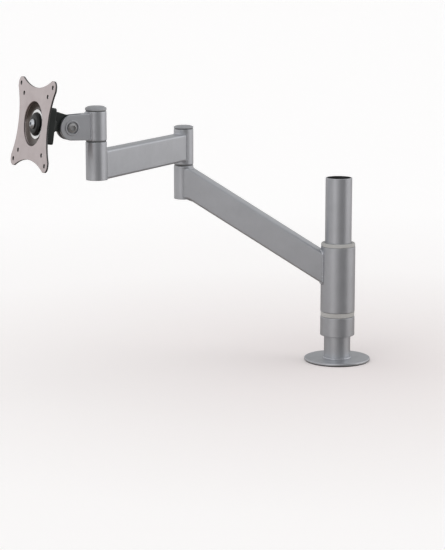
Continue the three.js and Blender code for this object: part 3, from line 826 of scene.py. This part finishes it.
CLEVIS_TIP, CLEVIS_ROOT, CLEVIS_WIDTH = 16.5 * MM, 17.6 * MM, 17 * MM
SLOT, SLOT_START = 8.6 * MM, 22.5 * MM
BOSS_R, BOSS_OUT, RECESS_R = 10 * MM, 1.2 * MM, 8 * MM
BOLT_HOLE_R = 4.3 * MM
tilt_z = pivot("head_tilt").z
s = Size("swivel_clevis", WRIST)
hub = ring(HUB.bore, HUB.r, s.z0, s.z1, (1.0, 1.1), 112)

inner_end = 10.6 * MM - TILT_REACH
ear_outline = [(inner_end, -CLEVIS_ROOT)]
for k in range(33):
    angle = -math.pi / 2 + math.pi * k / 32
    ear_outline.append((CLEVIS_TIP * math.cos(angle), CLEVIS_TIP * math.sin(angle)))
ear_outline.append((inner_end, CLEVIS_ROOT))
ears = sheet(ear_outline, [], CLEVIS_WIDTH, 0.9 * MM, 4)
gap_start = SLOT_START - TILT_REACH
slot = prism(rounded([(gap_start, -SLOT / 2), (0.05, -SLOT / 2), (0.05, SLOT / 2), (gap_start, SLOT / 2)],
                     [2 * MM, 0, 0, 2 * MM], 5), -0.05, 0.05)
SLOT_TURN = Matrix.Rotation(-math.pi / 2, 4, "X")
ears = combined(ears, moved(slot, SLOT_TURN))
near = -CLEVIS_WIDTH / 2  # the side of the bolt's head, in the ears' frame
bolt_hole = turned([(0, -0.03), (BOLT_HOLE_R, -0.03), (BOLT_HOLE_R, 0.03), (0, 0.03)], 64)
ears = combined(ears, bolt_hole)
recess_floor = near + 0.8 * MM
recess = turned([(0, near - 0.01), (RECESS_R, near - 0.01), (RECESS_R, recess_floor), (0, recess_floor)], 96)
ears = combined(ears, recess)
pocket = prism(hexagon(13.8 * MM), CLEVIS_WIDTH / 2 - 2 * MM, 0.03)
ears = combined(ears, pocket)
boss = turned(rounded(
    [(RECESS_R, recess_floor), (RECESS_R, near - BOSS_OUT), (BOSS_R, near - BOSS_OUT),
     (BOSS_R + 0.5 * MM, near + 0.6 * MM)],
    [0, 0.5 * MM, 0.6 * MM, 0], 5), 96)
EAR_IN_WRIST = WRIST.inverted() @ EAR
casting = joined(hub, moved(joined(ears, boss), EAR_IN_WRIST))
add_for("swivel_clevis", casting, WRIST)

path = []
for y, z in dense_outline(rectangle(CLEVIS_WIDTH, 2 * CLEVIS_ROOT, MM), 1.2 * MM):
    path.append((math.sqrt(HUB.r ** 2 - y * y), y, tilt_z + z))
add("clevis_root_fillet", bead(path, 1.1 * MM, 0.0), WRIST, "swivel_head", SILVER, "silver_coat")

s = Size("tilt_bolt", BOLT)
HEAD_R, HEAD_T, SHANK = s.r, 4.2 * MM, 4 * MM
seat = s.z1 - HEAD_T
bolt = turned(rounded(
    [(0, s.z1), (HEAD_R * 0.62, s.z1), (HEAD_R, s.z1 - HEAD_T * 0.62), (HEAD_R, seat), (SHANK, seat),
     (SHANK, s.z0 + 0.8 * MM), (SHANK - 0.8 * MM, s.z0), (0, s.z0)],
    [0, 1.6 * MM, 1.2 * MM, 0.3 * MM, 0, 0, 0, 0], 6, closed=False), 96, closed=False)
bolt = combined(bolt, prism(hexagon(6.4 * MM), s.z1 - 2.6 * MM, s.z1 + MM))
add_for("tilt_bolt", bolt, BOLT, DULL_STEEL)
s = Size("tilt_nut", BOLT)
add_for("tilt_nut", hex_nut(13 * MM, s.bore, s.z0, s.z1), BOLT)
for node in ("tilt_washer_near", "tilt_washer_far"):
    s = Size(node, BOLT)
    add_for(node, ring(s.bore, s.r, s.z0, s.z1, (0.15, 0.15), 96), BOLT)

# ------------------------------------------------------------------ tilting bracket

TONGUE_R, TONGUE_T, TONGUE_TOP, TONGUE_LOW = 14.8 * MM, 7 * MM, 19 * MM, -6.5 * MM
BACK_X, BACK_T, BACK_SIDE, BACK_CORNER = 31.4 * MM, 10.8 * MM, 47.5 * MM, 3 * MM
BOSS_X = 22.2 * MM  # where the square boss grows out of the tongue
outline = []
for k in range(37):
    angle = math.pi / 2 + math.pi * 1.25 * k / 36
    outline.append((TONGUE_R * math.cos(angle), TONGUE_R * math.sin(angle)))
outline += rounded([(TONGUE_R * 0.7, -TONGUE_R * 0.7), (18.6 * MM, TONGUE_LOW), (BACK_X + MM, TONGUE_LOW)],
                   [0, 3 * MM, 0], 5, closed=False)[1:]
outline += rounded([(BACK_X + MM, TONGUE_TOP), (BOSS_X, TONGUE_TOP), (0, TONGUE_R)],
                   [0, 5 * MM, 0], 6, closed=False)[:-1]
tongue = sheet(outline, [circle(0, 0, BOLT_HOLE_R, 40)], TONGUE_T, 1.0 * MM, 4)
SIDE_ON = Matrix.Rotation(math.pi / 2, 4, "X")  # sheet X along the head, sheet Y up
tongue = moved(tongue, SIDE_ON)


def across_head(points, x):
    return [(x, a, b) for a, b in points]


# Share of the way from the tongue to the plate, and the boss's width there in mm: it flares at the plate
boss_steps = [(-0.1, 13.5), (0.05, 15.5), (0.2, 16.6), (0.55, 17.0), (0.8, 17.6), (0.93, 19.6), (1.08, 22)]
boss_sections = []
for share, side in boss_steps:
    square = rectangle(side * MM, side * MM, side * 0.24 * MM, 5)
    boss_sections.append(across_head(square, BOSS_X + (BACK_X - BOSS_X) * share))
boss = lofted(boss_sections)
square = rectangle(BACK_SIDE, BACK_SIDE, BACK_CORNER, 6)
flat = sheet(square, [circle(0, 0, BOLT_HOLE_R, 40)], BACK_T, 1.1 * MM, 4)
FACE_ON = Matrix(((0, 0, 1, 0), (1, 0, 0, 0), (0, 1, 0, 0), (0, 0, 0, 1)))
flat = moved(moved(flat, shift(z=BACK_X + BACK_T / 2)), FACE_ON)
add_for("tilt_bracket", joined(tongue, boss, flat), TILT)

# ------------------------------------------------------------------ turning pivot in the dish

s = Size("turn_friction_washer", FACE)
add_for("turn_friction_washer", ring(s.bore, s.r, s.z0, s.z1, (0.5, 0.5), 112), FACE)
s = Size("turn_ring", FACE)
add_for("turn_ring", turned(rounded(
    [(s.bore, s.z0), (s.r, s.z0), (s.r, s.z1), (s.r - 4 * MM, s.z1), (s.r - 4.6 * MM, s.z1 - 0.5 * MM),
     (s.bore, s.z1 - 0.5 * MM)],
    [0, 0.3 * MM, 0.6 * MM, 0.3 * MM, 0.2 * MM, 0], 5), 112), FACE, RING_STEEL)
s = Size("turn_disc", FACE)
add_for("turn_disc", turned(rounded(
    [(s.bore, s.z0), (s.r, s.z0), (s.r, s.z0 + 1.6 * MM), (s.r - 2.4 * MM, s.z1 - 0.4 * MM),
     (s.r - 5.5 * MM, s.z1), (s.bore, s.z1)],
    [0, 0.3 * MM, 0.9 * MM, 1.6 * MM, 2 * MM, 0], 6), 112), FACE)
s = Size("turn_bolt", FACE)
HEAD_R, HEAD_T = s.r, 3.4 * MM
seat = s.z1 - HEAD_T
bolt = turned(rounded(
    [(0, s.z1), (HEAD_R * 0.55, s.z1), (HEAD_R, s.z1 - HEAD_T * 0.65), (HEAD_R, seat), (SHANK, seat),
     (SHANK, s.z0), (0, s.z0)],
    [0, 1.6 * MM, 1.0 * MM, 0.2 * MM, 0, 0.6 * MM, 0], 6, closed=False), 96, closed=False)
bolt = combined(bolt, prism(hexagon(5 * MM), s.z1 - 2 * MM, s.z1 + MM))
add_for("turn_bolt", bolt, FACE)

# ------------------------------------------------------------------ screen plate

HALF, SHEET_T, CORNER, EAR_FLAT, SCALLOP, WAIST = (v * MM for v in (58.5, 2.5, 8.5, 13, 11.5, 12.5))
RIM_R, FLOOR_R, DISH_DEPTH, DISH_BORE = (v * MM for v in (29, 20.2, 6.7, 5.4))
HOLE_R = 2.7 * MM
front = Size("screen_plate", FACE).z1


def arc_points(cx, cy, r, start, end, steps):
    angles = [start + (end - start) * k / steps for k in range(steps + 1)]
    return [(cx + r * math.cos(angle), cy + r * math.sin(angle)) for angle in angles]


outline = []
for side in range(4):
    turn = side * math.pi / 2
    depth = SCALLOP if side % 2 else WAIST
    chord = HALF - EAR_FLAT
    radius = (chord * chord + depth * depth) / (2 * depth)
    half_angle = math.asin(chord / radius)
    distance = HALF - depth + radius
    outline += arc_points(distance * math.cos(turn), distance * math.sin(turn), radius,
                          turn + math.pi + half_angle, turn + math.pi - half_angle, 28)
    diagonal = (HALF - CORNER) * math.sqrt(2)
    outline += arc_points(diagonal * math.cos(turn + math.pi / 4), diagonal * math.sin(turn + math.pi / 4),
                          CORNER, turn, turn + math.pi / 2, 10)
holes = [circle(sx * side / 2, sy * side / 2, HOLE_R, 32)
         for side in (75 * MM, 100 * MM) for sx in (-1, 1) for sy in (-1, 1)]
ROLL = 2.2 * MM
holes.append(circle(0, 0, RIM_R + ROLL - 0.3 * MM, 120))
flat = sheet(outline, holes, SHEET_T, 0.35 * MM, 3)
flat = moved(flat, shift(z=front - SHEET_T / 2))
back = front - SHEET_T
LIP = 1.5 * MM  # the back of the bowl meets the flat sheet this far outside the rim


def bowl_wall(level, rim, start):
    """A quarter ellipse down to the flat floor; start 0 is at the rim itself."""
    points = []
    for k in range(13):
        angle = math.pi / 2 * (start + (1 - start) * k / 12)
        points.append((FLOOR_R + (rim - FLOOR_R) * math.cos(angle), level - DISH_DEPTH * math.sin(angle)))
    return points


wall = bowl_wall(front, RIM_R, 0.2)
lip = rounded([(RIM_R + ROLL, front), (RIM_R - 0.3 * MM, front), wall[0]], [0, 1.6 * MM, 0], 7, closed=False)
behind = [(DISH_BORE, back - DISH_DEPTH)] + bowl_wall(back, RIM_R + LIP, 0.1)[::-1] + [(RIM_R + ROLL, back)]
dish = turned(behind + lip[:-1] + wall + [(DISH_BORE, front - DISH_DEPTH)], 144)


def cut_edge(point, normal):
    """The sheared outline and the walls of the holes, outside the pressed dish: raw edges, darkened with
    painted shade.
    """
    return abs(normal.z) < 0.6 and point.xy.length > RIM_R + ROLL


def in_bowl(point):
    """The pressed wall and floor of the dish, seen from the front, which get the painted shade."""
    radius = point.xy.length
    return DISH_BORE < radius < RIM_R - 0.8 * MM and point.z > back - DISH_DEPTH + 0.2 * MM


plate = add_for("screen_plate", joined(flat, dish), FACE, inner=SHEARED_AND_SHADE, inner_test=cut_edge)
# The dish's wall and floor take the dark brown painted shade.
plate.data.materials.append(BOWL_SHADE)
to_face = FACE.inverted()
for face in plate.data.polygons:
    if in_bowl(to_face @ face.center) and (to_face.to_3x3() @ face.normal).z > 0:
        face.material_index = 2

# ------------------------------------------------------------------ nodes that keep their CAD mesh

for node, obj in frame["nodes"].items():
    if not obj.hide_render:
        obj.data.materials.clear()
        obj.data.materials.append(BY_SLOT[NODE_SLOT[node]])
        obj.data.shade_smooth()
        obj.data.set_sharp_from_angle(angle=math.radians(30))

# ------------------------------------------------------------------ stage, light and camera

CAMERA_SIDE = 8  # degrees from the -Y axis toward +X at which the camera stands
FLOOR_HALF = 60
FLOOR_FADE = 1.5  # distance from the pole over which the floor pales
ROOM_LEVEL = 1.22
ROOM_PEAK = 1.8  # ramps hold 0 to 1, so the walls are divided by this and the strength multiplied by it
# Brightness of the walls by angle, in degrees from the camera's side and positive to its right
ROOM_WALLS = [(-180, 0.47), (-120, 0.95), (-62, 0.9), (-39, 1.45), (-12, 0.85), (10, 0.4), (50, 0.34),
              (72, 1.3), (92, 1.4), (118, 1.12), (150, 0.7), (180, 0.45)]

FLOOR = bpy.data.materials.new("floor")
FLOOR.use_nodes = True
floor_nodes = FLOOR.node_tree.nodes
floor_links = FLOOR.node_tree.links
floor_shader = floor_nodes["Principled BSDF"]
place = floor_nodes.new("ShaderNodeTexCoord")
spread = floor_nodes.new("ShaderNodeMapping")
spread.inputs["Scale"].default_value = (1 / FLOOR_FADE, 1 / FLOOR_FADE, 1 / FLOOR_FADE)
distance = floor_nodes.new("ShaderNodeTexGradient")
distance.gradient_type = "SPHERICAL"
floor_links.new(place.outputs["Object"], spread.inputs["Vector"])
floor_links.new(spread.outputs["Vector"], distance.inputs["Vector"])
floor_tone = ramp(FLOOR.node_tree, distance.outputs["Fac"],
                  [(0.0, (0.98, 0.975, 0.975)), (0.5, (0.93, 0.915, 0.912)), (0.85, (0.81, 0.765, 0.76)),
                   (1.0, (0.73, 0.67, 0.665))])
floor_links.new(floor_tone, floor_shader.inputs["Base Color"])
floor_shader.inputs["Emission Color"].default_value = (1, 0.985, 0.98, 1)
floor_shader.inputs["Emission Strength"].default_value = 0.18
floor_shader.inputs["Roughness"].default_value = 0.85
floor_shader.inputs["Specular IOR Level"].default_value = 0.1
corners = [(x * FLOOR_HALF, y * FLOOR_HALF, 0) for x, y in ((-1, -1), (1, -1), (1, 1), (-1, 1))]
floor_mesh = mesh_from(corners, [(0, 1, 2, 3)])
floor_mesh.materials.append(FLOOR)
floor = bpy.data.objects.new("floor", floor_mesh)
bpy.context.scene.collection.objects.link(floor)
floor.visible_glossy = False
floor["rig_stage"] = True

# A room that is brightest at left and right, dimmer behind, with a dim gap just right of the camera
world = bpy.data.worlds.new("studio")
bpy.context.scene.world = world
world.use_nodes = True
room_nodes = world.node_tree.nodes
room_links = world.node_tree.links
direction = room_nodes.new("ShaderNodeTexCoord")
turn = room_nodes.new("ShaderNodeMapping")
turn.inputs["Rotation"].default_value = (0, 0, math.pi / 2 - math.radians(CAMERA_SIDE))
around = room_nodes.new("ShaderNodeTexGradient")
around.gradient_type = "RADIAL"
room_links.new(direction.outputs["Generated"], turn.inputs["Vector"])
room_links.new(turn.outputs["Vector"], around.inputs["Vector"])
walls = ramp(world.node_tree, around.outputs["Fac"],
             [((angle + 180) / 360, level / ROOM_PEAK) for angle, level in ROOM_WALLS])
parts = room_nodes.new("ShaderNodeSeparateXYZ")
room_links.new(direction.outputs["Generated"], parts.inputs["Vector"])
height = room_nodes.new("ShaderNodeMapRange")
height.inputs["From Min"].default_value = -1
height.inputs["To Min"].default_value = 0
room_links.new(parts.outputs["Z"], height.inputs["Value"])
rise = ramp(world.node_tree, height.outputs["Result"],
            [(0.0, (0.2, 0.17, 0.15)), (0.4, (0.3, 0.27, 0.25)), (0.5, 1.0), (0.6, 0.9), (0.8, 0.72),
             (1.0, 0.65)])
backdrop = room_nodes["Background"]
room_links.new(mixed(world.node_tree, 1.0, walls, rise, "MULTIPLY"), backdrop.inputs["Color"])
backdrop.inputs["Strength"].default_value = ROOM_PEAK * ROOM_LEVEL

sun_data = bpy.data.lights.new("soft_sun", "SUN")
sun_data.angle = math.radians(70)
sun_data.energy = 0.25
sun = bpy.data.objects.new("soft_sun", sun_data)
bpy.context.scene.collection.objects.link(sun)
sun.rotation_euler = (math.radians(25), math.radians(-18), 0)

camera_data = bpy.data.cameras.new("camera")
camera_data.sensor_width = 36
camera_data.lens = 121.94
camera_data.clip_end = 200
camera = bpy.data.objects.new("camera", camera_data)
bpy.context.scene.collection.objects.link(camera)
camera.location = (0.1903, -2.6359, 0.6067)
camera.rotation_euler = (math.radians(90 - 10.345), 0, math.radians(7.731))
bpy.context.scene.camera = camera
bpy.context.scene.view_settings.view_transform = "Standard"

low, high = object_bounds()
